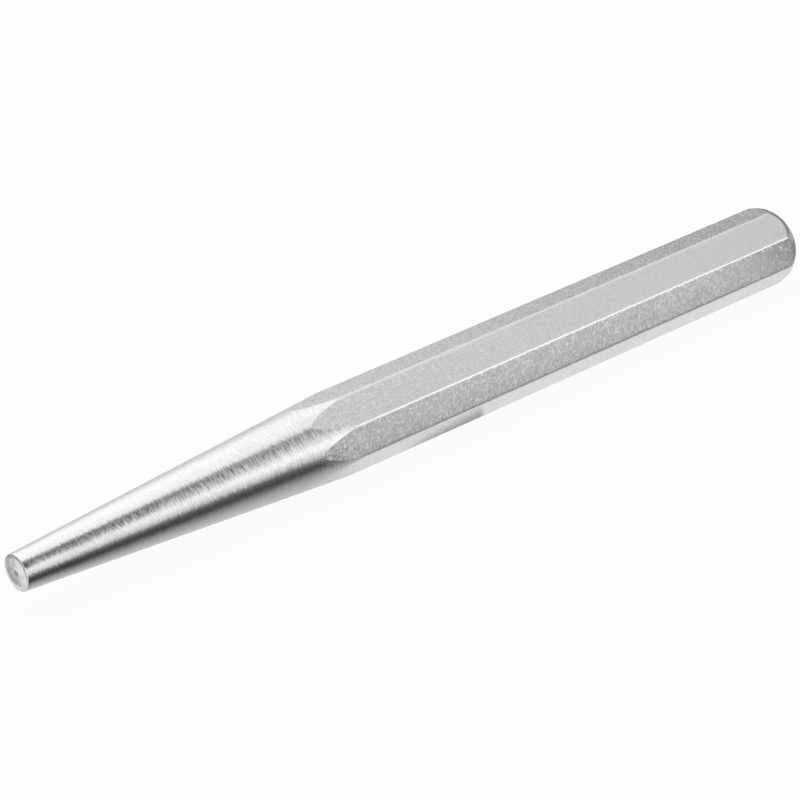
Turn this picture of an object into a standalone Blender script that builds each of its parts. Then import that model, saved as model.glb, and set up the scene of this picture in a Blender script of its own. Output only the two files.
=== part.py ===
"""Nail punch, a single piece of steel, in metres with +Z up.

The punch lies on one of its flats, with its axis along X. The ground point is
towards -X and the striking head towards +X. The origin is below the middle of
its length, on the surface that it lies on.
"""

import math

import bmesh
import bpy
from mathutils import Matrix, Vector

# Octagonal bar
LENGTH = 0.124  # tip face to striking face
ACROSS_FLATS = 0.010
RIDGE_RADIUS = 0.0008  # rounding of the long ridges between the flats

# Ground point
TIP_DIAMETER = 0.0046
TAPER_LENGTH = 0.04624  # tip face to the last trace of grinding on the ridges
TIP_EDGE_BREAK = 0.0001  # small bevel round the tip face
HOLLOW_DIAMETER = 0.0036  # shallow hollow in the tip face
HOLLOW_DEPTH = 0.00011
DIMPLE_DIAMETER = 0.0011  # centre mark in the hollow
DIMPLE_DEPTH = 0.0001

# Striking head
STRIKING_FACE_DIAMETER = 0.0024
HEAD_RUNOUT = 0.00011  # how far outside the ridges the head's rounding starts

# Fineness of the curved surfaces
FLAT_COUNT = 8
TURNED_SEGMENTS = 96
RIDGE_SEGMENTS = 4
HOLLOW_SEGMENTS = 4
HEAD_SEGMENTS = 12

# Spare stock that a cut passes through, so that no two faces lie in one plane
CUT_ALLOWANCE = 0.001
MERGE_DISTANCE = 0.000001
SHARP_ANGLE = math.radians(30)
FLAT_TOLERANCE = 0.001  # how far a flat's own faces may lean, as a share of their normal

STEEL_COLOUR = (0.60, 0.60, 0.60, 1.0)
STEEL_ROUGHNESS = 0.35

HALF_SECTOR = math.pi / FLAT_COUNT
TIP_RADIUS = TIP_DIAMETER / 2
HOLLOW_RADIUS = HOLLOW_DIAMETER / 2
HOLLOW_BALL = (HOLLOW_RADIUS**2 + HOLLOW_DEPTH**2) / (2 * HOLLOW_DEPTH)
DIMPLE_RADIUS = DIMPLE_DIAMETER / 2
RIDGE_CENTRE = (ACROSS_FLATS / 2 - RIDGE_RADIUS) / math.cos(HALF_SECTOR)
RIDGE_TOP = RIDGE_CENTRE + RIDGE_RADIUS
TAPER_SLOPE = (RIDGE_TOP - TIP_RADIUS) / TAPER_LENGTH
STRIKING_FACE_RADIUS = STRIKING_FACE_DIAMETER / 2
HEAD_ROUNDING = RIDGE_TOP + HEAD_RUNOUT - STRIKING_FACE_RADIUS


def clear_scene():
    """Remove every object of the start-up scene."""
    for obj in list(bpy.data.objects):
        bpy.data.objects.remove(obj, do_unlink=True)


def steel_material():
    """Return the bare steel of the punch."""
    material = bpy.data.materials.new("steel")
    material.use_nodes = True
    shader = material.node_tree.nodes["Principled BSDF"]
    shader.inputs["Base Color"].default_value = STEEL_COLOUR
    shader.inputs["Metallic"].default_value = 1.0
    shader.inputs["Roughness"].default_value = STEEL_ROUGHNESS
    material.diffuse_color = STEEL_COLOUR
    return material


def add_object(name, mesh):
    """Link a mesh to the scene as a named object."""
    obj = bpy.data.objects.new(name, mesh)
    bpy.context.scene.collection.objects.link(obj)
    return obj


def octagonal_bar():
    """Return the bar, standing along Z and longer than the punch at both ends."""
    corner_radius = ACROSS_FLATS / 2 / math.cos(HALF_SECTOR)
    start = Matrix.Translation((0, 0, -CUT_ALLOWANCE)) @ Matrix.Rotation(HALF_SECTOR, 4, "Z")
    shape = bmesh.new()
    bmesh.ops.create_circle(
        shape, cap_ends=True, segments=FLAT_COUNT, radius=corner_radius, matrix=start)
    grown = bmesh.ops.extrude_face_region(shape, geom=list(shape.faces))
    new_verts = [item for item in grown["geom"] if isinstance(item, bmesh.types.BMVert)]
    bmesh.ops.translate(shape, verts=new_verts, vec=(0, 0, LENGTH + 2 * CUT_ALLOWANCE))
    bmesh.ops.recalc_face_normals(shape, faces=list(shape.faces))
    ridges = [edge for edge in shape.edges if edge.verts[0].co.z * edge.verts[1].co.z < 0]
    bmesh.ops.bevel(
        shape, geom=ridges, offset=RIDGE_RADIUS * math.tan(HALF_SECTOR), offset_type="OFFSET",
        segments=RIDGE_SEGMENTS, profile=0.5, affect="EDGES")
    mesh = bpy.data.meshes.new("punch")
    shape.to_mesh(mesh)
    shape.free()
    return add_object("punch", mesh)


def head_arc():
    """Return the rounding of the head as (radius, height) pairs, from the face down."""
    centre = Vector((STRIKING_FACE_RADIUS, LENGTH - HEAD_ROUNDING))
    angles = [math.pi / 2 * (1 - step / HEAD_SEGMENTS) for step in range(HEAD_SEGMENTS + 1)]
    return [centre + HEAD_ROUNDING * Vector((math.cos(a), math.sin(a))) for a in angles]


def hollow_arc():
    """Return the hollow in the tip as (radius, height) pairs, from its rim to the centre mark."""
    step_in = (HOLLOW_RADIUS - DIMPLE_RADIUS) / HOLLOW_SEGMENTS
    radii = [HOLLOW_RADIUS - step_in * step for step in range(HOLLOW_SEGMENTS + 1)]
    ball_centre = HOLLOW_DEPTH - HOLLOW_BALL
    return [(radius, ball_centre + math.sqrt(HOLLOW_BALL**2 - radius**2)) for radius in radii]


def turned_profile():
    """Return the outline that grinding and turning leave, from the head's centre down."""
    clear_radius = RIDGE_TOP + HEAD_RUNOUT + CUT_ALLOWANCE
    taper_end = (clear_radius - TIP_RADIUS) / TAPER_SLOPE
    return [
        (0, LENGTH),
        *head_arc(),
        (clear_radius, LENGTH - HEAD_ROUNDING),
        (clear_radius, taper_end),
        (TIP_RADIUS + TAPER_SLOPE * TIP_EDGE_BREAK, TIP_EDGE_BREAK),
        (TIP_RADIUS - TIP_EDGE_BREAK, 0),
        *hollow_arc(),
        (0, HOLLOW_DEPTH + DIMPLE_DEPTH),
    ]


def turned_cutter(name, profile):
    """Return a hidden solid of revolution about Z from an outline that runs top to bottom."""
    verts = [(radius, 0, height) for radius, height in profile]
    edges = [(index, index + 1) for index in range(len(verts) - 1)]
    mesh = bpy.data.meshes.new(name)
    mesh.from_pydata(verts, edges, [])
    obj = add_object(name, mesh)
    screw = obj.modifiers.new("turn", "SCREW")
    screw.axis = "Z"
    screw.steps = TURNED_SEGMENTS
    screw.render_steps = TURNED_SEGMENTS
    screw.use_merge_vertices = True
    screw.merge_threshold = MERGE_DISTANCE
    obj.hide_render = True
    obj.display_type = "WIRE"
    return obj


def cut(obj, cutter):
    """Keep what an object shares with a cutter, and remove the cutter."""
    boolean = obj.modifiers.new(cutter.name, "BOOLEAN")
    boolean.operation = "INTERSECT"
    boolean.object = cutter
    boolean.solver = "EXACT"
    finished = obj.evaluated_get(bpy.context.evaluated_depsgraph_get())
    uncut = obj.data
    obj.data = bpy.data.meshes.new_from_object(finished)
    obj.modifiers.clear()
    bpy.data.meshes.remove(uncut)
    bpy.data.objects.remove(cutter, do_unlink=True)


def shade(mesh):
    """Shade the turned surfaces smooth, the flats flat and the tip's edges sharp."""
    mesh.set_sharp_from_angle(angle=SHARP_ANGLE)
    for face in mesh.polygons:
        sector = math.atan2(face.normal.y, face.normal.x) / (2 * HALF_SECTOR)
        off_flat = max(abs(sector - round(sector)), abs(face.normal.z))
        face.use_smooth = off_flat > FLAT_TOLERANCE


def main():
    """Build the punch and lay it on the surface."""
    clear_scene()
    punch = octagonal_bar()
    cut(punch, turned_cutter("turned_outline", turned_profile()))
    punch.data.materials.clear()
    punch.data.materials.append(steel_material())
    shade(punch.data)
    punch.location = (-LENGTH / 2, 0, ACROSS_FLATS / 2)
    punch.rotation_euler = (0, math.pi / 2, 0)


main()
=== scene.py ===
"""A steel nail punch lying on a pale floor in soft studio light.

The punch is one piece of steel with four finishes: the turned tip face, the
ground taper, the satin flats of the octagonal bar and the turned head. Its
shape is worked out by a Geometry Nodes tree from the sizes in Punch, and each
finish is a procedural material.
"""

import logging
import math
from dataclasses import asdict, dataclass, field
from enum import Enum, IntEnum
from itertools import accumulate
from typing import Any, Union

import bpy
from mathutils import Matrix, Vector


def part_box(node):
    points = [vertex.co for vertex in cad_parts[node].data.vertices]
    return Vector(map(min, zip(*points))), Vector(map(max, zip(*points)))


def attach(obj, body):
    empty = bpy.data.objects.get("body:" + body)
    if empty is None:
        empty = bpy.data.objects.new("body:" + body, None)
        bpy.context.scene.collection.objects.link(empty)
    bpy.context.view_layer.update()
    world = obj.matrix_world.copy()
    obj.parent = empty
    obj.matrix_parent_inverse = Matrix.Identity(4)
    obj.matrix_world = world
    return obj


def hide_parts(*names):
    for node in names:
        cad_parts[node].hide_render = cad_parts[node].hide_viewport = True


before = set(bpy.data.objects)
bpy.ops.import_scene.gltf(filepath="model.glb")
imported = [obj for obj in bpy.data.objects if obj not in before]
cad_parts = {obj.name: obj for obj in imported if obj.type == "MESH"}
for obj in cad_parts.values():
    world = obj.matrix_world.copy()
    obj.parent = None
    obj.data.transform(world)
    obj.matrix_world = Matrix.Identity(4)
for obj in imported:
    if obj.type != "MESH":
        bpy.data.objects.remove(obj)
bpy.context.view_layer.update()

log = logging.getLogger("nail_punch")

PIECE_NAME = "punch_steel"
CAD_NODE = "punch"
BODY = "root"
RIDGE_ATTRIBUTE = "ridge"
ROW_ATTRIBUTE = "row"
UV_NAME = "round_and_along"
MICRON = 1e-6
MERGE_DISTANCE = 0.1 * MICRON
FLOOR_DROP = 10 * MICRON  # keeps the floor just clear of the flat that rests on it
QUARTER_TURN = 0.25
RIDGE_GRAIN_FADE = 3.0  # how much sooner than its polish a ridge loses its grain
VIEW_ALONG = -0.004906  # where the camera aims along the punch, in metres
VIEW_ABOVE_AXIS = 0.000618

Number = Union["Field", float]


class Operation(str, Enum):
    """The sums that a Field can do, by the name that a Math node gives them."""

    ADD = "ADD"
    SUBTRACT = "SUBTRACT"
    MULTIPLY = "MULTIPLY"
    DIVIDE = "DIVIDE"
    FLOOR = "FLOOR"
    ROUND = "ROUND"
    SINE = "SINE"
    COSINE = "COSINE"
    ARCSINE = "ARCSINE"
    ARCTAN2 = "ARCTAN2"
    SQRT = "SQRT"
    POWER = "POWER"
    MINIMUM = "MINIMUM"
    MAXIMUM = "MAXIMUM"
    GREATER = "GREATER_THAN"
    COMPARE = "COMPARE"


class Field:
    """A number that a node tree works out, which takes Python's own operators."""

    def __init__(self, tree: bpy.types.NodeTree, socket: bpy.types.NodeSocket) -> None:
        """Wrap an output socket.

        Args:
            tree: The tree that the socket is in.
            socket: The output that carries the number.
        """
        self.tree = tree
        self.socket = socket

    def work(self, operation: Operation, *others: Number) -> "Field":
        """Feed this number and others to a Math node.

        Args:
            operation: What the node does.
            others: The node's other inputs, in order.

        Returns:
            The node's result.
        """
        node = self.tree.nodes.new("ShaderNodeMath")
        node.operation = operation.value
        for slot, value in zip(node.inputs, (self, *others)):
            feed(self.tree, slot, value)
        return Field(self.tree, node.outputs[0])

    def __add__(self, other: Number) -> "Field":
        """Return the sum."""
        return self.work(Operation.ADD, other)

    def __sub__(self, other: Number) -> "Field":
        """Return the difference."""
        return self.work(Operation.SUBTRACT, other)

    def __mul__(self, other: Number) -> "Field":
        """Return the product."""
        return self.work(Operation.MULTIPLY, other)

    def __truediv__(self, other: Number) -> "Field":
        """Return the quotient."""
        return self.work(Operation.DIVIDE, other)

    __radd__ = __add__
    __rmul__ = __mul__

    def __rsub__(self, other: float) -> "Field":
        """Return a plain number less this one."""
        return self * -1.0 + other

    def sin(self) -> "Field":
        """Return the sine."""
        return self.work(Operation.SINE)

    def cos(self) -> "Field":
        """Return the cosine."""
        return self.work(Operation.COSINE)

    def sqrt(self) -> "Field":
        """Return the square root."""
        return self.work(Operation.SQRT)

    def clamp(self) -> "Field":
        """Return the number kept between 0 and 1."""
        return self.work(Operation.MAXIMUM, 0.0).work(Operation.MINIMUM, 1.0)


def feed(tree: bpy.types.NodeTree, slot: bpy.types.NodeSocket, value: Any) -> None:
    """Link a Field or a socket to an input, or set a plain value on it.

    Args:
        tree: The tree that the input is in.
        slot: The input.
        value: A Field, an output socket or a plain value.
    """
    if isinstance(value, Field):
        tree.links.new(value.socket, slot)
    elif isinstance(value, bpy.types.NodeSocket):
        tree.links.new(value, slot)
    else:
        slot.default_value = value


def add_node(tree: bpy.types.NodeTree, kind: str, inputs: dict[Any, Any] | None = None,
             **settings: Any) -> bpy.types.Node:
    """Add a node, with its settings and inputs.

    Args:
        tree: The tree to add it to.
        kind: The node's type.
        inputs: Values, Fields or sockets by the input's name or number.
        settings: The node's own properties.

    Returns:
        The new node.
    """
    node = tree.nodes.new(kind)
    for name, value in settings.items():
        setattr(node, name, value)
    for name, value in (inputs or {}).items():
        feed(tree, node.inputs[name], value)
    return node


def fall(tree: bpy.types.NodeTree, value: Number, middle: float, soft: float) -> Field:
    """Fall smoothly from 1 to 0 round a value.

    Args:
        tree: The tree.
        value: What decides the fall.
        middle: Where it is half done.
        soft: How far it reaches to each side.

    Returns:
        The share that is left.
    """
    node = add_node(tree, "ShaderNodeMapRange", {
        "From Min": middle - soft, "From Max": middle + soft, "To Min": 1.0, "To Max": 0.0},
        interpolation_type="SMOOTHSTEP")
    feed(tree, node.inputs["Value"], value)
    return Field(tree, node.outputs[0])


def rise(tree: bpy.types.NodeTree, value: Number, middle: float, soft: float) -> Field:
    """Rise smoothly from 0 to 1 round a value, as fall does the other way."""
    return 1.0 - fall(tree, value, middle, soft)


class Finish(IntEnum):
    """The regions of the punch, each with its own finish, from the tip to the head."""

    TIP_FACE = 0
    TAPER = 1
    FLATS = 2
    HEAD = 3


@dataclass(frozen=True)
class Rows:
    """How many rings of faces each stretch of the outline has, from tip to head."""

    dimple: int = 3
    hollow: int = 8
    rim: int = 3
    tip_edge: int = 4
    taper: int = 60
    shank: int = 60
    shank_end: int = 1
    head: int = 18
    striking_face: int = 3

    def starts(self) -> dict[str, int]:
        """Return the row where each stretch starts, by the stretch's name."""
        counts = asdict(self)
        return dict(zip(counts, accumulate([0, *counts.values()])))

    def total(self) -> int:
        """Return the number of rows in all."""
        return sum(asdict(self).values())


@dataclass
class Punch:
    """The punch's shape and its four finishes.

    Sizes are in metres. The length and the width across flats come from the
    frame, and the rest are those that the solid was made with.
    """

    length: float
    across_flats: float
    ridge_radius: float = 0.0008
    tip_diameter: float = 0.0046
    taper_length: float = 0.04624
    tip_edge: float = 0.0001
    hollow_diameter: float = 0.0036
    hollow_depth: float = 0.00011
    dimple_diameter: float = 0.0011
    dimple_depth: float = 0.0001
    striking_face_diameter: float = 0.0024
    head_runout: float = 0.00011
    shank_end: float = 0.0003
    flat_count: int = 8
    flat_columns: int = 20
    ridge_columns: int = 8
    rows: Rows = field(default_factory=Rows)

    @classmethod
    def from_frame(cls) -> "Punch":
        """Return a punch as long and as wide as the solid."""
        low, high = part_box(CAD_NODE)
        return cls(length=high.x - low.x, across_flats=high.y - low.y)

    def shape_tree(self, materials: list[bpy.types.Material]) -> bpy.types.NodeTree:
        """Build the Geometry Nodes tree that works out the punch.

        A grid is rolled round the axis. Its columns follow the octagon's flats and
        rounded ridges, and its rows follow the outline from the tip's centre mark
        to the striking face, so that the curved border between taper and flats is
        a row of its own.

        Args:
            materials: One material for each Finish, in order.

        Returns:
            The tree, with a named input for each size.
        """
        tree = bpy.data.node_groups.new("punch_shape", "GeometryNodeTree")
        for name, value in self.inputs().items():
            socket = tree.interface.new_socket(name, in_out="INPUT", socket_type="NodeSocketFloat")
            socket.default_value = value
        tree.interface.new_socket("Geometry", in_out="OUTPUT", socket_type="NodeSocketGeometry")
        sizes = tree.nodes.new("NodeGroupInput")
        size = {name: Field(tree, sizes.outputs[name]) for name in self.inputs()}

        columns = self.flat_count * (self.flat_columns + self.ridge_columns)
        last_row = self.rows.total()
        grid = add_node(tree, "GeometryNodeMeshGrid", {
            "Size X": 1.0, "Size Y": 1.0, "Vertices X": columns + 1, "Vertices Y": last_row + 1})
        place = add_node(tree, "ShaderNodeSeparateXYZ", {
            0: tree.nodes.new("GeometryNodeInputPosition").outputs[0]})
        column = ((Field(tree, place.outputs["X"]) + 0.5) * columns).work(Operation.ROUND)
        row = ((Field(tree, place.outputs["Y"]) + 0.5) * last_row).work(Operation.ROUND)

        angle, bar_radius, ridge = self.section(column, size)
        along, radius = self.outline(row, bar_radius, size)
        position = add_node(tree, "ShaderNodeCombineXYZ", {
            "X": along - size["Length"] * 0.5,
            "Y": radius * angle.sin(),
            "Z": size["Across Flats"] * 0.5 - radius * angle.cos(),
        })

        mesh = grid.outputs["Mesh"]
        mesh = self.store(tree, mesh, UV_NAME, grid.outputs["UV Map"], "FLOAT2", "CORNER")
        mesh = self.store(tree, mesh, ROW_ATTRIBUTE, row, "FLOAT", "POINT")
        mesh = self.store(tree, mesh, RIDGE_ATTRIBUTE, ridge, "FLOAT", "POINT")
        rolled = add_node(tree, "GeometryNodeSetPosition", {
            "Geometry": mesh, "Position": position.outputs[0]})
        closed = add_node(tree, "GeometryNodeMergeByDistance", {
            "Geometry": rolled.outputs[0], "Distance": MERGE_DISTANCE})
        mesh = self.crease(tree, closed.outputs[0])
        smooth = add_node(tree, "GeometryNodeSetShadeSmooth", {"Geometry": mesh})
        real = add_node(tree, "GeometryNodeRealizeInstances", {"Geometry": smooth.outputs[0]})
        mesh = self.lay_finishes(tree, real.outputs[0], materials)
        add_node(tree, "NodeGroupOutput", {"Geometry": mesh})
        return tree

    def inputs(self) -> dict[str, float]:
        """List the tree's sizes.

        Returns:
            Each size in metres, by its input's name.
        """
        return {
            "Length": self.length,
            "Across Flats": self.across_flats,
            "Ridge Radius": self.ridge_radius,
            "Tip Radius": self.tip_diameter / 2,
            "Taper Length": self.taper_length,
            "Tip Edge": self.tip_edge,
            "Hollow Radius": self.hollow_diameter / 2,
            "Hollow Depth": self.hollow_depth,
            "Dimple Radius": self.dimple_diameter / 2,
            "Dimple Depth": self.dimple_depth,
            "Striking Face Radius": self.striking_face_diameter / 2,
            "Head Runout": self.head_runout,
            "Shank End": self.shank_end,
        }

    def section(self, column: Field, size: dict[str, Field]) -> tuple[Field, Field, Field]:
        """Work out the octagonal section at a column.

        Args:
            column: The column, counted from the edge of the flat that the punch lies on.
            size: The tree's sizes.

        Returns:
            The angle round the axis, the bar's radius there, and how near the column
            is to the middle of a ridge, from 0 on a flat to 1.
        """
        sector_angle = 2 * math.pi / self.flat_count
        per_sector = self.flat_columns + self.ridge_columns
        sector = ((column + 0.5) / per_sector).work(Operation.FLOOR)
        within = column - sector * per_sector
        across = (within / self.flat_columns).clamp()
        bend = ((within - self.flat_columns) / self.ridge_columns).clamp()

        inner = size["Across Flats"] * 0.5 - size["Ridge Radius"]
        half_flat = inner * math.tan(sector_angle / 2)
        turn = bend * sector_angle
        out = inner + size["Ridge Radius"] * turn.cos()
        side = half_flat * (across * 2.0 - 1.0) + size["Ridge Radius"] * turn.sin()
        angle = side.work(Operation.ARCTAN2, out) + sector * sector_angle
        ridge = (bend * math.pi).sin()
        return angle, (out * out + side * side).sqrt(), ridge

    def outline(self, row: Field, bar_radius: Field, size: dict[str, Field]) -> tuple[Field, Field]:
        """Work out the turned outline at a row, as the sum of each stretch's own travel.

        Args:
            row: The row, counted from the tip's centre.
            bar_radius: The bar's own radius in this direction.
            size: The tree's sizes.

        Returns:
            The distance from the tip face along the axis, and the radius.
        """
        counts = asdict(self.rows)
        done = {name: ((row - float(start)) / counts[name]).clamp()
                for name, start in self.rows.starts().items()}

        sector_angle = 2 * math.pi / self.flat_count
        inner = size["Across Flats"] * 0.5 - size["Ridge Radius"]
        ridge_top = inner / math.cos(sector_angle / 2) + size["Ridge Radius"]
        slope = (ridge_top - size["Tip Radius"]) / size["Taper Length"]
        lean = slope.work(Operation.ARCTAN2, 1.0)

        ball = (size["Hollow Radius"] * size["Hollow Radius"] / size["Hollow Depth"]
                + size["Hollow Depth"]) * 0.5
        hollow_width = size["Hollow Radius"] - size["Dimple Radius"]
        hollow_reach = size["Dimple Radius"] + hollow_width * done["hollow"]
        hollow_rise = self.ball_height(ball, hollow_reach, size["Hollow Depth"])
        mark_rim = self.ball_height(ball, size["Dimple Radius"], size["Hollow Depth"])
        mark_rise = size["Hollow Depth"] + size["Dimple Depth"] - mark_rim

        edge_turn = done["tip_edge"] * (math.pi / 2 - lean)
        edge_along = size["Tip Edge"] * (1.0 - edge_turn.cos())
        edge_length = size["Tip Edge"] * (1.0 - lean.sin())
        face_rim = size["Tip Radius"] + slope * edge_length - size["Tip Edge"] * lean.cos()

        taper_end = (bar_radius - size["Tip Radius"]) / slope
        taper_run = (taper_end - edge_length) * done["taper"]

        rounding = ridge_top + size["Head Runout"] - size["Striking Face Radius"]
        head_centre = size["Length"] - rounding
        first_turn = ((bar_radius - size["Striking Face Radius"]) / rounding).work(Operation.ARCSINE)
        first_turn = math.pi / 2 - first_turn
        shank_end = head_centre + rounding * first_turn.sin()
        head_turn = first_turn + (math.pi / 2 - first_turn) * done["head"]

        along = mark_rise * (1.0 - done["dimple"]) + hollow_rise + edge_along + taper_run
        along = along + (shank_end - taper_end - size["Shank End"]) * done["shank"]
        along = along + size["Shank End"] * done["shank_end"]
        along = along + rounding * (head_turn.sin() - first_turn.sin())
        radius = size["Dimple Radius"] * done["dimple"] + hollow_width * done["hollow"]
        radius = radius + (face_rim - size["Hollow Radius"]) * done["rim"]
        radius = radius + size["Tip Edge"] * edge_turn.sin() + slope * taper_run
        radius = radius + rounding * (head_turn.cos() - first_turn.cos())
        return along, radius - size["Striking Face Radius"] * done["striking_face"]

    @staticmethod
    def ball_height(ball: Field, radius: Field, depth: Field) -> Field:
        """Return how deep a hollow of a ball's radius is at a distance from its middle."""
        return (ball * ball - radius * radius).sqrt() - ball + depth

    @staticmethod
    def store(tree: bpy.types.NodeTree, mesh: bpy.types.NodeSocket, name: str, value: Any,
              data_type: str, domain: str) -> bpy.types.NodeSocket:
        """Keep a value on the mesh under a name.

        Args:
            tree: The tree.
            mesh: The mesh so far.
            name: The attribute's name.
            value: A Field or a socket.
            data_type: The attribute's type.
            domain: Where it is kept.

        Returns:
            The mesh with the attribute.
        """
        node = add_node(tree, "GeometryNodeStoreNamedAttribute", data_type=data_type, domain=domain)
        feed(tree, node.inputs["Geometry"], mesh)
        feed(tree, node.inputs["Name"], name)
        feed(tree, node.inputs["Value"], value)
        return node.outputs[0]

    @staticmethod
    def kept_row(tree: bpy.types.NodeTree) -> Field:
        """Read the row that each part of the mesh came from.

        Args:
            tree: The tree.

        Returns:
            The row.
        """
        node = add_node(tree, "GeometryNodeInputNamedAttribute", {"Name": ROW_ATTRIBUTE},
                        data_type="FLOAT")
        return Field(tree, node.outputs["Attribute"])

    def crease(self, tree: bpy.types.NodeTree, mesh: bpy.types.NodeSocket) -> bpy.types.NodeSocket:
        """Make the border between the ground taper and the flats crisp.

        Args:
            tree: The tree.
            mesh: The closed mesh.

        Returns:
            The mesh with that border marked.
        """
        near = 0.1
        border = float(self.rows.starts()["shank"])
        crisp = self.kept_row(tree).work(Operation.COMPARE, border, near)
        return self.store(tree, mesh, "sharp_edge", crisp, "BOOLEAN", "EDGE")

    def lay_finishes(self, tree: bpy.types.NodeTree, mesh: bpy.types.NodeSocket,
                     materials: list[bpy.types.Material]) -> bpy.types.NodeSocket:
        """Give each region its material, by the rows that it lies in.

        Args:
            tree: The tree.
            mesh: The finished mesh.
            materials: One material for each Finish, in order.

        Returns:
            The mesh with its materials.
        """
        starts = self.rows.starts()
        first_row = {Finish.TIP_FACE: 0, Finish.TAPER: starts["taper"],
                     Finish.FLATS: starts["shank"], Finish.HEAD: starts["head"]}
        row = self.kept_row(tree)
        for finish in Finish:
            node = add_node(tree, "GeometryNodeSetMaterial", {
                "Geometry": mesh,
                "Selection": row.work(Operation.GREATER, float(first_row[finish])),
                "Material": materials[finish],
            })
            mesh = node.outputs[0]
        return mesh

    def build(self, materials: list[bpy.types.Material]) -> bpy.types.Object:
        """Make the punch as a plain mesh in its place.

        Args:
            materials: One material for each Finish, in order.

        Returns:
            The finished piece.
        """
        piece = bpy.data.objects.new(PIECE_NAME, bpy.data.meshes.new(PIECE_NAME))
        bpy.context.scene.collection.objects.link(piece)
        tree = self.shape_tree(materials)
        shape = piece.modifiers.new("shape", "NODES")
        shape.node_group = tree
        for item in tree.interface.items_tree:
            if item.in_out == "INPUT":
                shape[item.identifier] = self.inputs()[item.name]
        evaluated = piece.evaluated_get(bpy.context.evaluated_depsgraph_get())
        made = bpy.data.meshes.new_from_object(evaluated)
        made.name = PIECE_NAME
        piece.modifiers.clear()
        piece.data = made
        made.attributes.remove(made.attributes[ROW_ATTRIBUTE])
        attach(piece, BODY)
        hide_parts(CAD_NODE)
        log.info("%s: %d faces", piece.name, len(made.polygons))
        return piece


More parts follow.
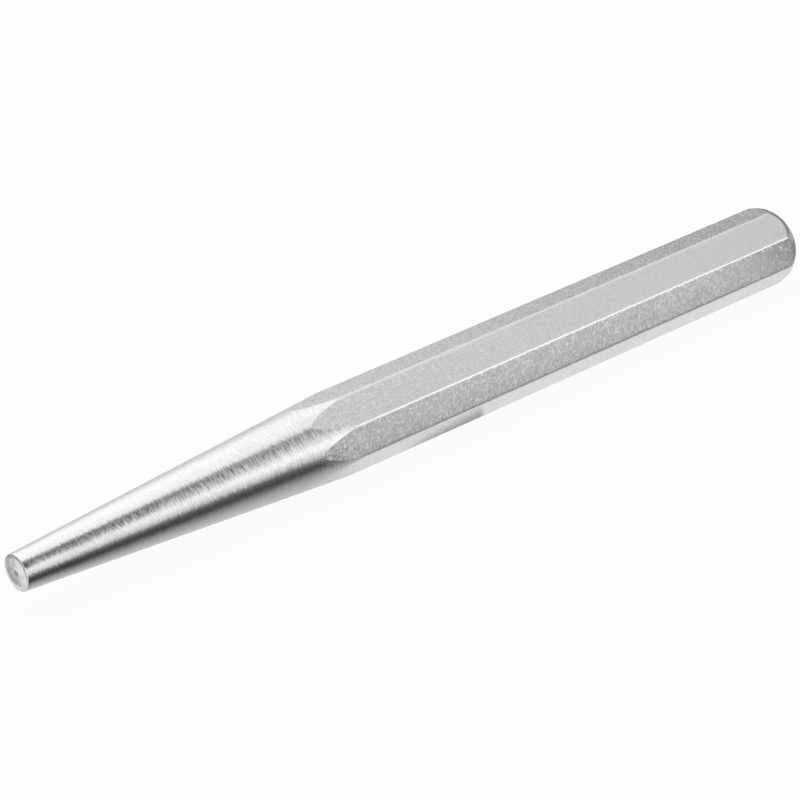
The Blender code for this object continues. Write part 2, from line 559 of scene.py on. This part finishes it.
class NodeGroups:
    """The effects that more than one finish uses, each a shader node group built once."""

    def __init__(self, axis_height: float) -> None:
        """Build the groups.

        Args:
            axis_height: How high the punch's axis lies, in metres.
        """
        self.axis_height = axis_height
        self.axis_place = self.make_axis_place()
        self.tool_marks = self.make_tool_marks()
        self.grain = self.make_grain()
        self.steel_tone = self.make_steel_tone()
        self.leaning_normal = self.make_leaning_normal()

    @staticmethod
    def start(name: str, inputs: dict[str, float], outputs: dict[str, str]) -> tuple[
            bpy.types.NodeTree, dict[str, Field], bpy.types.Node]:
        """Start a group with named sockets.

        Args:
            name: The group's name.
            inputs: Its numbers and their usual values.
            outputs: Its outputs and their socket types.

        Returns:
            The tree, its inputs as Fields, and its output node.
        """
        tree = bpy.data.node_groups.new(name, "ShaderNodeTree")
        for label, value in inputs.items():
            socket = tree.interface.new_socket(label, in_out="INPUT", socket_type="NodeSocketFloat")
            socket.default_value = value
        for label, kind in outputs.items():
            tree.interface.new_socket(label, in_out="OUTPUT", socket_type=kind)
        source = tree.nodes.new("NodeGroupInput")
        given = {label: Field(tree, source.outputs[label]) for label in inputs}
        return tree, given, tree.nodes.new("NodeGroupOutput")

    def make_axis_place(self) -> bpy.types.NodeTree:
        """Build a group that says where a point lies along, from and round the punch's axis.

        Returns:
            The group.
        """
        tree, _, out = self.start("axis_place", {}, {
            "Along": "NodeSocketFloat", "Radius": "NodeSocketFloat",
            "Y": "NodeSocketFloat", "Z": "NodeSocketFloat",
            "Round Y": "NodeSocketFloat", "Round Z": "NodeSocketFloat"})
        place = tree.nodes.new("ShaderNodeTexCoord").outputs["Object"]
        parts = add_node(tree, "ShaderNodeSeparateXYZ", {0: place})
        y = Field(tree, parts.outputs["Y"])
        z = Field(tree, parts.outputs["Z"]) - self.axis_height
        radius = (y * y + z * z).sqrt()
        safe = radius.work(Operation.MAXIMUM, MICRON)
        feed(tree, out.inputs["Along"], parts.outputs["X"])
        feed(tree, out.inputs["Radius"], radius)
        feed(tree, out.inputs["Y"], y)
        feed(tree, out.inputs["Z"], z)
        feed(tree, out.inputs["Round Y"], y / safe)
        feed(tree, out.inputs["Round Z"], z / safe)
        return tree

    def make_tool_marks(self) -> bpy.types.NodeTree:
        """Build a group of the fine lines that a wheel or cutter leaves round the axis.

        Returns:
            The group, which puts out a height and a lean.
        """
        tree, given, out = self.start("tool_marks", {
            "Travel": 0.0, "Tilt Y": 0.0, "Tilt Z": 0.0, "Spacing": 0.0002, "Wander": 2.0,
            "Roughness": 0.6}, {"Height": "NodeSocketFloat", "Lean": "NodeSocketVector"})
        where = add_node(tree, "ShaderNodeGroup", node_tree=self.axis_place)
        travel = given["Travel"] + Field(tree, where.outputs["Y"]) * given["Tilt Y"]
        travel = travel + Field(tree, where.outputs["Z"]) * given["Tilt Z"]
        vector = add_node(tree, "ShaderNodeCombineXYZ", {
            "X": travel / given["Spacing"],
            "Y": Field(tree, where.outputs["Round Y"]) * given["Wander"],
            "Z": Field(tree, where.outputs["Round Z"]) * given["Wander"],
        })
        noise = add_node(tree, "ShaderNodeTexNoise", {
            "Vector": vector.outputs[0], "Scale": 1.0, "Detail": 3.0,
            "Roughness": given["Roughness"]})
        feed(tree, out.inputs["Height"], noise.outputs[0])
        feed(tree, out.inputs["Lean"], self.centred(tree, noise))
        return tree

    def make_grain(self) -> bpy.types.NodeTree:
        """Build a group of the small pits of drawn bar, which lean least along the bar.

        Returns:
            The group, which puts out a height and a lean.
        """
        tree, given, out = self.start("drawn_grain", {
            "Size": 0.0003, "Detail": 1.0, "Lean Along": 0.12}, {
            "Height": "NodeSocketFloat", "Lean": "NodeSocketVector"})
        place = tree.nodes.new("ShaderNodeTexCoord").outputs["Object"]
        noise = add_node(tree, "ShaderNodeTexNoise", {
            "Vector": place, "Scale": given["Size"].work(Operation.POWER, -1.0),
            "Detail": given["Detail"], "Roughness": 0.55})
        share = add_node(tree, "ShaderNodeCombineXYZ", {
            "X": given["Lean Along"], "Y": 1.0, "Z": 1.0})
        lean = add_node(tree, "ShaderNodeVectorMath", {
            0: self.centred(tree, noise), 1: share.outputs[0]}, operation="MULTIPLY")
        feed(tree, out.inputs["Height"], noise.outputs[0])
        feed(tree, out.inputs["Lean"], lean.outputs[0])
        return tree

    @staticmethod
    def centred(tree: bpy.types.NodeTree, noise: bpy.types.Node) -> bpy.types.NodeSocket:
        """Bring a noise node's three channels to a mean of nought.

        Args:
            tree: The tree.
            noise: The noise node.

        Returns:
            The channels as a vector.
        """
        node = add_node(tree, "ShaderNodeVectorMath", {0: noise.outputs["Color"], 1: (0.5, 0.5, 0.5)},
                        operation="SUBTRACT")
        return node.outputs[0]

    @staticmethod
    def make_leaning_normal() -> bpy.types.NodeTree:
        """Build a group that leans the surface's normal by two vectors, each by its own amount.

        Returns:
            The group.
        """
        tree = bpy.data.node_groups.new("leaning_normal", "ShaderNodeTree")
        source = tree.nodes.new("NodeGroupInput")
        out = tree.nodes.new("NodeGroupOutput")
        tree.interface.new_socket("Normal", in_out="OUTPUT", socket_type="NodeSocketVector")
        normal = tree.nodes.new("ShaderNodeNewGeometry").outputs["Normal"]
        for label in ("Marks", "Grain"):
            tree.interface.new_socket(label, in_out="INPUT", socket_type="NodeSocketVector")
            amount = f"{label} Amount"
            tree.interface.new_socket(amount, in_out="INPUT", socket_type="NodeSocketFloat")
            lean = add_node(tree, "ShaderNodeVectorMath", {
                0: source.outputs[label], "Scale": source.outputs[amount]}, operation="SCALE")
            normal = add_node(tree, "ShaderNodeVectorMath", {0: normal, 1: lean.outputs[0]},
                              operation="ADD").outputs[0]
        unit = add_node(tree, "ShaderNodeVectorMath", {0: normal}, operation="NORMALIZE")
        feed(tree, out.inputs["Normal"], unit.outputs[0])
        return tree

    def make_steel_tone(self) -> bpy.types.NodeTree:
        """Build a group of the steel's grey, which drifts a little over the surface.

        Returns:
            The group.
        """
        tree, given, out = self.start("steel_tone", {
            "Grey": 0.7, "Drift": 0.05, "Patch": 0.012}, {"Color": "NodeSocketColor"})
        place = tree.nodes.new("ShaderNodeTexCoord").outputs["Object"]
        noise = add_node(tree, "ShaderNodeTexNoise", {
            "Vector": place, "Scale": given["Patch"].work(Operation.POWER, -1.0), "Detail": 3.0})
        grey = given["Grey"] + (Field(tree, noise.outputs[0]) - 0.5) * given["Drift"]
        colour = add_node(tree, "ShaderNodeCombineColor", {
            "Red": grey, "Green": grey, "Blue": grey})
        feed(tree, out.inputs["Color"], colour.outputs[0])
        return tree


@dataclass(frozen=True)
class Steel:
    """What every finish of the punch's steel has.

    Greys and roughness are as the shader takes them, and depths are in metres.
    """

    name: str
    grey: float
    # how far the grain's pits are painted darker and its tops lighter: partly the grain's own tone,
    # partly painted shade in the pits
    speckle_and_pit_shade: float
    roughness: float
    roughness_swing: float
    mark_depth: float
    mark_lean: float
    mark_spacing: float
    mark_wander: float
    grain_lean: float
    grain_size: float
    anisotropy: float = 0.0
    marks_follow_radius: bool = False
    mark_tilts: tuple[tuple[float, float], ...] = ((0.0, 0.0),)
    ridge_polish: float = 0.0

    def material(self, groups: NodeGroups) -> bpy.types.Material:
        """Build the finish's material.

        Args:
            groups: The shared effects.

        Returns:
            The material.
        """
        made = bpy.data.materials.new(self.name)
        made.use_nodes = True
        tree = made.node_tree
        shader = tree.nodes["Principled BSDF"]
        shader.inputs["Metallic"].default_value = 1.0
        shader.inputs["Anisotropic"].default_value = self.anisotropy
        shader.inputs["Anisotropic Rotation"].default_value = QUARTER_TURN

        grain = add_node(tree, "ShaderNodeGroup", {"Size": self.grain_size}, node_tree=groups.grain)
        grain_height = Field(tree, grain.outputs["Height"])
        mark_height, mark_lean = self.marks(tree, groups)
        polish = self.ridge(tree) * self.ridge_polish
        flat_share = 1.0 - polish
        grain_share = (1.0 - polish * RIDGE_GRAIN_FADE).clamp()
        # Painted shade: the grain's pits are darker and its tops lighter, partly the drawn grain's own
        # tone and partly shade in the pits.
        grey = (grain_height - 0.5) * self.speckle_and_pit_shade * self.grey + self.grey
        tone = add_node(tree, "ShaderNodeGroup", {"Grey": grey}, node_tree=groups.steel_tone)
        leaning = add_node(tree, "ShaderNodeGroup", {
            "Marks": mark_lean, "Marks Amount": self.mark_lean,
            "Grain": grain.outputs["Lean"], "Grain Amount": grain_share * self.grain_lean,
        }, node_tree=groups.leaning_normal)
        bump = add_node(tree, "ShaderNodeBump", {
            "Strength": 1.0, "Distance": 1.0, "Height": mark_height * self.mark_depth,
            "Normal": leaning.outputs["Normal"]})
        swing = (mark_height + grain_height - 1.0) * self.roughness_swing
        rough = (swing + self.roughness) * flat_share

        feed(tree, shader.inputs["Base Color"], tone.outputs["Color"])
        feed(tree, shader.inputs["Roughness"], rough)
        feed(tree, shader.inputs["Normal"], bump.outputs[0])
        if self.anisotropy:
            grain_way = add_node(tree, "ShaderNodeTangent", direction_type="UV_MAP", uv_map=UV_NAME)
            feed(tree, shader.inputs["Tangent"], grain_way.outputs[0])
        return made

    def marks(self, tree: bpy.types.NodeTree, groups: NodeGroups) -> tuple[
            Field, bpy.types.NodeSocket]:
        """Lay the marks of each pass of the tool over each other.

        Args:
            tree: The material's tree.
            groups: The shared effects.

        Returns:
            Their mean height, from 0 to 1, and the sum of their leans.
        """
        where = add_node(tree, "ShaderNodeGroup", node_tree=groups.axis_place)
        travel = where.outputs["Radius" if self.marks_follow_radius else "Along"]
        height: Number = 0.0
        lean: Any = (0.0, 0.0, 0.0)
        for tilt_y, tilt_z in self.mark_tilts:
            marks = add_node(tree, "ShaderNodeGroup", {
                "Travel": travel, "Tilt Y": tilt_y, "Tilt Z": tilt_z, "Spacing": self.mark_spacing,
                "Wander": self.mark_wander}, node_tree=groups.tool_marks)
            height = Field(tree, marks.outputs["Height"]) / len(self.mark_tilts) + height
            lean = add_node(tree, "ShaderNodeVectorMath", {0: marks.outputs["Lean"], 1: lean},
                            operation="ADD").outputs[0]
        return height, lean

    @staticmethod
    def ridge(tree: bpy.types.NodeTree) -> Field:
        """Read how near a point is to the middle of a ridge.

        Args:
            tree: The material's tree.

        Returns:
            The nearness, from 0 on a flat to 1.
        """
        node = add_node(tree, "ShaderNodeAttribute", attribute_name=RIDGE_ATTRIBUTE)
        return Field(tree, node.outputs["Fac"])


FINISHES: dict[Finish, Steel] = {
    Finish.TIP_FACE: Steel(
        name="turned_tip", grey=0.86, speckle_and_pit_shade=0.15, roughness=0.22, roughness_swing=0.1,
        mark_depth=4 * MICRON, mark_lean=0.06, mark_spacing=0.0004, mark_wander=0.5,
        grain_lean=0.15, grain_size=0.0006, marks_follow_radius=True),
    Finish.TAPER: Steel(
        name="ground_taper", grey=0.73, speckle_and_pit_shade=0.0, roughness=0.25, roughness_swing=0.15,
        mark_depth=0.0, mark_lean=0.18, mark_spacing=0.00014, mark_wander=4.0,
        mark_tilts=((0.2, 0.1), (-0.15, 0.2)),
        grain_lean=0.0, grain_size=0.0003, anisotropy=0.5),
    Finish.FLATS: Steel(
        name="satin_flats", grey=0.715, speckle_and_pit_shade=0.28, roughness=0.30, roughness_swing=0.15,
        mark_depth=0.0, mark_lean=0.0, mark_spacing=0.0004, mark_wander=3.0,
        grain_lean=0.66, grain_size=0.0003, ridge_polish=0.27),
    Finish.HEAD: Steel(
        name="turned_head", grey=0.73, speckle_and_pit_shade=0.28, roughness=0.38, roughness_swing=0.15,
        mark_depth=3 * MICRON, mark_lean=0.05, mark_spacing=0.0003, mark_wander=1.0,
        grain_lean=0.4, grain_size=0.0003),
}


@dataclass(frozen=True)
class Panel:
    """A soft-edged band of the light tent.

    Angles go round the punch's axis, from the horizon in front over the top to
    the horizon behind, and each edge fades over its own soft angle to both sides.
    Along the axis, the band runs between two values of a direction's own X share.
    """

    from_deg: float
    to_deg: float
    soft_deg: tuple[float, float]
    radiance: float
    from_x: float = -2.0
    to_x: float = 2.0
    soft_x: float = 0.1

    def light(self, tree: bpy.types.NodeTree, angle: Field, right: Field) -> Field:
        """Work out the band's light in a direction.

        Args:
            tree: The world's tree.
            angle: The direction's angle round the axis, in degrees.
            right: The direction's X share.

        Returns:
            The light.
        """
        from_soft, to_soft = self.soft_deg
        band = rise(tree, angle, self.from_deg, from_soft) * fall(tree, angle, self.to_deg, to_soft)
        reach = rise(tree, right, self.from_x, self.soft_x) * fall(tree, right, self.to_x, self.soft_x)
        return band * reach * self.radiance


@dataclass(frozen=True)
class Softbox:
    """A large even lamp that faces the punch, placed round its axis as a Panel is."""

    name: str
    angle_deg: float
    distance: float
    width: float
    length: float
    radiance: float

    def build(self, target: Vector) -> None:
        """Hang the lamp.

        Args:
            target: The point that it faces.
        """
        turn = math.radians(self.angle_deg)
        towards = Vector((0, -math.cos(turn), math.sin(turn)))
        data = bpy.data.lights.new(self.name, "AREA")
        data.shape = "RECTANGLE"
        data.size = self.length
        data.size_y = self.width
        data.energy = self.radiance * math.pi * self.length * self.width
        lamp = bpy.data.objects.new(self.name, data)
        bpy.context.scene.collection.objects.link(lamp)
        side = Vector((1, 0, 0))
        axes = Matrix((side, towards.cross(side), towards)).transposed()
        lamp.matrix_world = Matrix.Translation(target + towards * self.distance) @ axes.to_4x4()
        log.info("light %s", self.name)


@dataclass(frozen=True)
class Card:
    """A dark card on the floor with soft edges, which only reflections show.

    Its edges are in metres in the punch's frame, each the middle of a fade that
    reaches its own soft width to both sides. The edges along X may lean, as far in Y
    as lean says for each metre from the card's start. Some cards are dark flags, and
    some are painted shade: they stand in for the punch's shadow on the floor, which
    the glowing floor barely shows in reflections.
    """

    name: str
    x: tuple[float, float]
    y: tuple[float, float]
    soft_x: tuple[float, float]
    soft_y: tuple[float, float]
    darkness: float
    height: float
    lean: float = 0.0

    def build(self) -> None:
        """Lay the card."""
        (x0, x1), (y0, y1) = self.x, self.y
        x0, x1 = x0 - self.soft_x[0], x1 + self.soft_x[1]
        y0, y1 = y0 - self.soft_y[0], y1 + self.soft_y[1]
        y0 = min(y0, y0 + (x1 - self.x[0]) * self.lean)
        mesh = bpy.data.meshes.new(self.name)
        corners = ((x0, y0), (x1, y0), (x1, y1), (x0, y1))
        mesh.from_pydata([(x, y, self.height) for x, y in corners], [], [(0, 1, 2, 3)])
        card = bpy.data.objects.new(self.name, mesh)
        bpy.context.scene.collection.objects.link(card)
        mesh.materials.append(self.paint())
        card.visible_camera = False
        card.visible_diffuse = False
        card.visible_shadow = False

    def paint(self) -> bpy.types.Material:
        """Mix a black that fades out towards the card's edges.

        Returns:
            The card's material.
        """
        made = bpy.data.materials.new(self.name)
        made.use_nodes = True
        tree = made.node_tree
        tree.nodes.remove(tree.nodes["Principled BSDF"])
        place = add_node(tree, "ShaderNodeSeparateXYZ", {
            0: tree.nodes.new("ShaderNodeTexCoord").outputs["Object"]})
        x = Field(tree, place.outputs["X"])
        y = Field(tree, place.outputs["Y"]) - (x - self.x[0]) * self.lean
        amount = rise(tree, x, self.x[0], self.soft_x[0]) * fall(tree, x, self.x[1], self.soft_x[1])
        amount = amount * rise(tree, y, self.y[0], self.soft_y[0])
        amount = amount * fall(tree, y, self.y[1], self.soft_y[1])
        black = add_node(tree, "ShaderNodeBsdfDiffuse", {"Color": (0, 0, 0, 1)})
        clear = tree.nodes.new("ShaderNodeBsdfTransparent")
        mix = add_node(tree, "ShaderNodeMixShader", {
            0: amount * self.darkness, 1: clear.outputs[0], 2: black.outputs[0]})
        feed(tree, tree.nodes["Material Output"].inputs["Surface"], mix.outputs[0])
        return made


@dataclass(frozen=True)
class Studio:
    """The pale floor, the light tent, the lamp and the cards."""

    floor_size: float = 40.0
    floor_grey: float = 0.95
    floor_glow: float = 0.94
    room: float = 0.07
    panels: tuple[Panel, ...] = (
        Panel(-25, 25, (8, 10), radiance=0.96, to_x=0.8),
        Panel(-22, 45, (10, 10), radiance=0.80, from_x=0.395, to_x=0.47, soft_x=0.03),
        Panel(-12, 18, (10, 10), radiance=0.62, from_x=0.48, to_x=0.8, soft_x=0.03),
        Panel(27, 66, (11, 10), radiance=0.82, from_x=0.45, to_x=0.85, soft_x=0.03),
        Panel(66, 146, (10, 28), radiance=0.82, from_x=-0.35, to_x=0.8, soft_x=0.14),
        Panel(66, 140, (10, 18), radiance=0.44, from_x=-0.35, to_x=0.48, soft_x=0.06),
        Panel(146, 180, (28, 35), radiance=0.9, from_x=-0.35, to_x=0.60, soft_x=0.13),
        Panel(0, 180, (10, 10), radiance=0.6, to_x=-0.5, soft_x=0.15),
    )
    lamp: Softbox = Softbox("overhead_softbox", angle_deg=117, distance=0.6, width=0.45, length=1.2,
                            radiance=0.12)
    cards: tuple[Card, ...] = (
        Card("taper_card", x=(-0.066, -0.0145), y=(-0.01635, -0.00245), soft_x=(0.004, 0.004),
             soft_y=(0.013, 0.0033), darkness=0.95, height=0.0003, lean=-0.075),
        Card("taper_shade", x=(-0.066, -0.018), y=(-0.02, 0.008), soft_x=(0.004, 0.006),
             soft_y=(0.01, 0.002), darkness=0.3, height=0.00015),
        # Painted shadow: the punch's dark contact shadow on the floor beside the shank, seen only in
        # reflections.
        Card("shank_shadow_card", x=(-0.0145, 0.08), y=(-0.0088, -0.0058), soft_x=(0.004, 0.01),
             soft_y=(0.0025, 0.0015), darkness=0.72, height=0.00035),
        Card("shank_shade", x=(-0.0145, 0.08), y=(-0.030, -0.008), soft_x=(0.004, 0.01),
             soft_y=(0.01, 0.003), darkness=0.35, height=0.0002),
        # Painted shadow: the contact shadow under the shank's lower ridge, seen only in reflections.
        Card("contact_shadow_card", x=(-0.006, 0.0058), y=(-0.0024, 0.002), soft_x=(0.003, 0.0006),
             soft_y=(0.0009, 0.001), darkness=0.52, height=0.0001, lean=-0.08),
        Card("end_card", x=(0.067, 0.115), y=(-0.03, 0.010), soft_x=(0.007, 0.01),
             soft_y=(0.005, 0.005), darkness=0.7, height=0.0004),
        Card("tip_card", x=(-0.12, -0.068), y=(0.002, 0.05), soft_x=(0.01, 0.0025),
             soft_y=(0.004, 0.01), darkness=0.68, height=0.00025),
    )

    def build(self, target: Vector) -> None:
        """Set up the floor, the tent, the lamp and the cards.

        Args:
            target: The point that the lamp faces.
        """
        self.lay_floor()
        self.pitch_tent()
        self.lamp.build(target)
        for card in self.cards:
            card.build()

    def lay_floor(self) -> None:
        """Lay a white floor that keeps the punch's soft shadow."""
        half = self.floor_size / 2
        mesh = bpy.data.meshes.new("floor")
        corners = ((-half, -half), (half, -half), (half, half), (-half, half))
        mesh.from_pydata([(x, y, -FLOOR_DROP) for x, y in corners], [], [(0, 1, 2, 3)])
        floor = bpy.data.objects.new("floor", mesh)
        bpy.context.scene.collection.objects.link(floor)
        paint = bpy.data.materials.new("floor_white")
        paint.use_nodes = True
        tree = paint.node_tree
        tree.nodes.remove(tree.nodes["Principled BSDF"])
        matt = add_node(tree, "ShaderNodeBsdfDiffuse", {
            "Color": (self.floor_grey, self.floor_grey, self.floor_grey, 1)})
        glow = add_node(tree, "ShaderNodeEmission", {"Color": (1, 1, 1, 1), "Strength": 1.0})
        path = tree.nodes.new("ShaderNodeLightPath")
        seen = Field(tree, path.outputs["Is Camera Ray"])
        for ray in ("Is Glossy Ray", "Is Transmission Ray"):
            seen = seen.work(Operation.MAXIMUM, Field(tree, path.outputs[ray]))
        mix = add_node(tree, "ShaderNodeMixShader", {
            0: seen * self.floor_glow, 1: matt.outputs[0], 2: glow.outputs[0]})
        feed(tree, tree.nodes["Material Output"].inputs["Surface"], mix.outputs[0])
        mesh.materials.append(paint)

    def pitch_tent(self) -> None:
        """Light the room by soft bands round the punch, and show it white to the camera."""
        world = bpy.data.worlds.new("light_tent")
        bpy.context.scene.world = world
        world.use_nodes = True
        tree = world.node_tree
        way = add_node(tree, "ShaderNodeSeparateXYZ", {
            0: tree.nodes.new("ShaderNodeTexCoord").outputs["Generated"]})
        front = Field(tree, way.outputs["Y"]) * -1.0
        angle = Field(tree, way.outputs["Z"]).work(Operation.ARCTAN2, front) * math.degrees(1)
        right = Field(tree, way.outputs["X"])
        light: Number = self.room
        for panel in self.panels:
            light = panel.light(tree, angle, right) + light
        seen = Field(tree, tree.nodes.new("ShaderNodeLightPath").outputs["Is Camera Ray"])
        light = light.work(Operation.MAXIMUM, seen)
        feed(tree, tree.nodes["Background"].inputs["Color"], (1, 1, 1, 1))
        feed(tree, tree.nodes["Background"].inputs["Strength"], light)


@dataclass(frozen=True)
class View:
    """The camera, placed round a point on the punch's axis."""

    target: Vector
    azimuth_deg: float = -37.25
    elevation_deg: float = 20.06
    roll_deg: float = 8.96
    distance: float = 0.40115
    lens_mm: float = 148.32
    sensor_mm: float = 36.0

    def build(self) -> None:
        """Place the camera."""
        turn, climb, roll = (math.radians(angle) for angle in (
            self.azimuth_deg, self.elevation_deg, self.roll_deg))
        back = Vector((math.sin(turn) * math.cos(climb), -math.cos(turn) * math.cos(climb),
                       math.sin(climb)))
        level_right = Vector((math.cos(turn), math.sin(turn), 0))
        level_up = back.cross(level_right)
        right = level_right * math.cos(roll) - level_up * math.sin(roll)
        axes = Matrix((right, back.cross(right), back)).transposed()
        data = bpy.data.cameras.new("camera")
        data.lens = self.lens_mm
        data.sensor_width = self.sensor_mm
        data.clip_start = 0.01
        data.clip_end = 100.0
        camera = bpy.data.objects.new("camera", data)
        bpy.context.scene.collection.objects.link(camera)
        camera.matrix_world = Matrix.Translation(self.target + back * self.distance) @ axes.to_4x4()
        bpy.context.scene.camera = camera


def main() -> None:
    """Build the punch, the studio and the view."""
    logging.basicConfig(level=logging.INFO, format="%(name)s: %(message)s")
    bpy.context.scene.view_settings.view_transform = "Standard"
    punch = Punch.from_frame()
    axis_height = punch.across_flats / 2
    groups = NodeGroups(axis_height)
    punch.build([FINISHES[finish].material(groups) for finish in Finish])
    target = Vector((VIEW_ALONG, 0.0, axis_height + VIEW_ABOVE_AXIS))
    Studio().build(Vector((0, 0, axis_height)))
    View(target).build()


if __name__ == "__main__":
    main()
